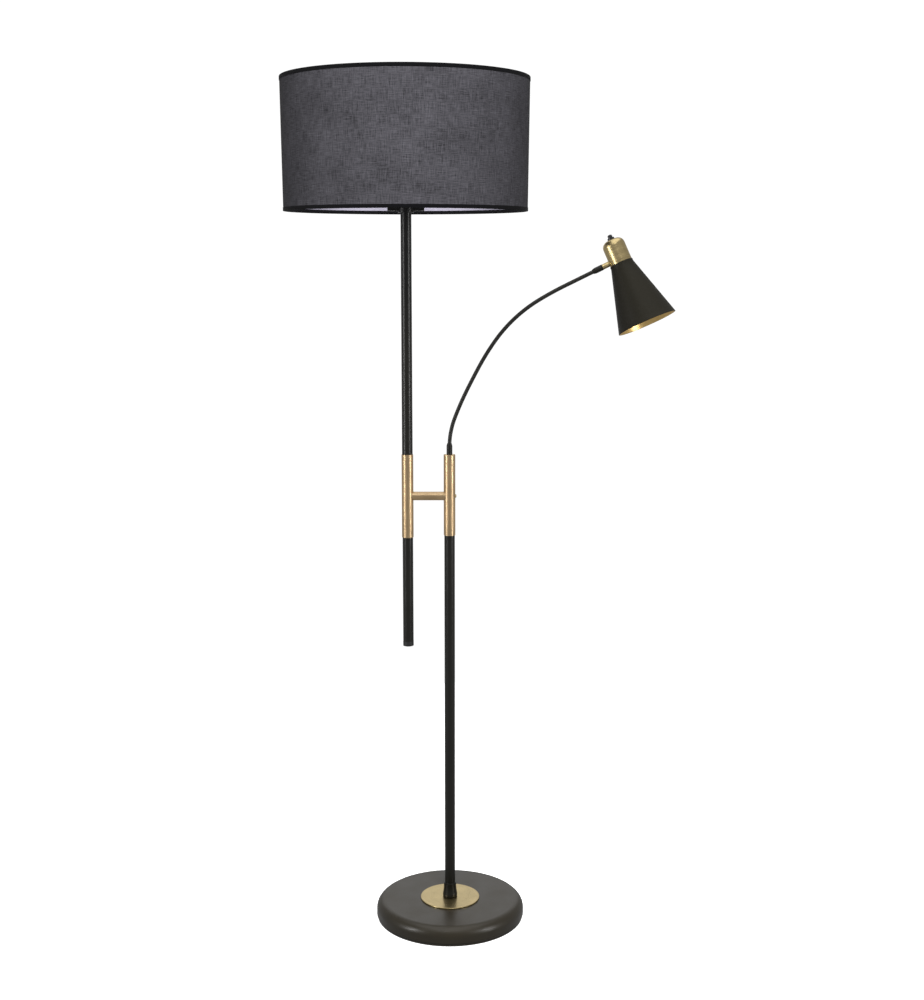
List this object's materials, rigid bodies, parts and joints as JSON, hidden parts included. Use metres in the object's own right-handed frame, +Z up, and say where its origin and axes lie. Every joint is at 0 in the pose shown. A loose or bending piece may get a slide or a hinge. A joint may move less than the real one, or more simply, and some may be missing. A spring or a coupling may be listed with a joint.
{
  "type": "floor lamp",
  "caption": "Floor lamp on two parallel poles joined by a brass H connector, with a fabric drum shade on top and a flexible reading arm with a cone head, on a round weighted base.",
  "frame": {"origin": "on the floor, at the centre of the base's underside, under the right pole", "axes": "+Z up along the right pole; the two poles and the reading arm lie in the XZ plane, with the drum shade's pole at -X and the reading head at +X; the reading cone's mouth is turned slightly towards -Y, the front"},
  "size_m": [0.7195, 0.452, 1.6],
  "materials": {
    "base_paint": "satin",
    "black_paint": "satin",
    "ferrule_paint": "satin",
    "cone_paint": "matt",
    "cast_iron": "rough cast",
    "felt": "felt",
    "rubber": "matt",
    "brass_turned": "satin, turned",
    "brass_brushed": "brushed along the tube",
    "brass_bar": "brushed along the bar",
    "brass_cap": "satin, spun",
    "brass_screw": "bright",
    "brass_thread": "rolled thread",
    "zinc_steel": "zinc plated",
    "white_wire": "powder coated",
    "shade_fabric": "woven slub fabric",
    "shade_liner": "white styrene laminate",
    "hem_tape": "woven binding tape",
    "black_bakelite": "moulded",
    "white_ceramic": "unglazed",
    "bulb_cap_metal": "rolled thread",
    "bulb_glass": "frosted",
    "neck_sleeve": "wound steel tube in a satin black sleeve",
    "black_cap": "moulded",
    "switch_plastic": "gloss",
    "cable_sheath": "matt"
  },
  "bodies": {
    "stand": {"base_cover": "base_paint", "base_disc": "brass_turned", "base_nut": "zinc_steel", "base_pad": "felt", "base_washer": "zinc_steel", "base_weight": "cast_iron", "bottom_tape": "hem_tape", "bottom_wire": "white_wire", "bulb_cap": "bulb_cap_metal", "bulb_glass": "bulb_glass", "cable_gland": "rubber", "carrier_bar": "black_paint", "carrier_hub": "black_paint", "crossbar": "brass_bar", "crossbar_insert": "zinc_steel", "crossbar_screw": "brass_screw", "disc_gasket": "rubber", "finial": "brass_turned", "lampholder_cap": "black_bakelite", "lampholder_core": "white_ceramic", "lampholder_shell": "brass_thread", "lampholder_skirt": "black_bakelite", "left_sleeve": "brass_brushed", "lower_ferrule": "ferrule_paint", "neck_link_1": "neck_sleeve", "pole_bushes": "zinc_steel", "pole_collar": "black_paint", "right_pole": "black_paint", "right_sleeve": "brass_brushed", "shade_fabric": "shade_fabric", "shade_frame": "zinc_steel", "shade_liner": "shade_liner", "shade_spider": "white_wire", "sleeve_plug": "brass_turned", "supply_cable": "cable_sheath", "tail_cap": "black_cap", "tail_pole": "black_paint", "threaded_nipples": "zinc_steel", "top_tape": "hem_tape", "top_wire": "white_wire", "upper_pole": "black_paint"},
    "neck_2": {"neck_link_2": "neck_sleeve"},
    "neck_3": {"neck_link_3": "neck_sleeve"},
    "neck_4": {"neck_link_4": "neck_sleeve"},
    "neck_5": {"neck_link_5": "neck_sleeve"},
    "neck_6": {"neck_link_6": "neck_sleeve"},
    "neck_7": {"neck_link_7": "neck_sleeve"},
    "neck_8": {"neck_link_8": "neck_sleeve", "upper_ferrule": "ferrule_paint"},
    "head": {"swivel_collar": "brass_turned", "swivel_nut": "zinc_steel", "head_cap": "brass_cap", "cone_shade": "cone_paint", "reading_lampholder": "black_bakelite", "holder_ring": "black_bakelite", "reading_bulb_cap": "bulb_cap_metal", "reading_bulb_glass": "bulb_glass", "switch_body": "black_bakelite", "switch_nut": "switch_plastic"},
    "button": {"switch_button": "switch_plastic"}
  },
  "joints": [
    {"name": "neck_curl_1", "type": "hinge", "parent": "stand", "child": "neck_2", "pos_m": [0.00978, 0, 0.98382], "axis": [0, 1, 0], "range_deg": [-5, 20]},
    {"name": "neck_lean_1", "type": "hinge", "parent": "neck_2", "child": "neck_3", "pos_m": [0.03157, 0, 1.0343], "axis": [0.898, 0, -0.4399], "range_deg": [-15, 15]},
    {"name": "neck_curl_2", "type": "hinge", "parent": "neck_3", "child": "neck_4", "pos_m": [0.05684, 0, 1.08315], "axis": [0, 1, 0], "range_deg": [-5, 20]},
    {"name": "neck_lean_2", "type": "hinge", "parent": "neck_4", "child": "neck_5", "pos_m": [0.08605, 0, 1.12971], "axis": [0.8131, 0, -0.5821], "range_deg": [-15, 15]},
    {"name": "neck_curl_3", "type": "hinge", "parent": "neck_5", "child": "neck_6", "pos_m": [0.12243, 0, 1.17083], "axis": [0, 1, 0], "range_deg": [-5, 20]},
    {"name": "neck_lean_3", "type": "hinge", "parent": "neck_6", "child": "neck_7", "pos_m": [0.16639, 0, 1.20372], "axis": [0.515, 0, -0.8572], "range_deg": [-15, 15]},
    {"name": "neck_curl_4", "type": "hinge", "parent": "neck_7", "child": "neck_8", "pos_m": [0.21469, 0, 1.23], "axis": [0, 1, 0], "range_deg": [-5, 20]},
    {"name": "head_swivel", "type": "hinge", "parent": "neck_8", "child": "head", "pos_m": [0.31257, 0, 1.27795], "axis": [0.898, 0, 0.4399], "range_deg": [-90, 90]},
    {"name": "switch_press", "type": "slide", "parent": "head", "child": "button", "axis": [0.3921, -0.1735, -0.9034], "range_m": [0, 0.0025], "stiffness_N_per_m": 500, "springref_m": -0.002}
  ]
}
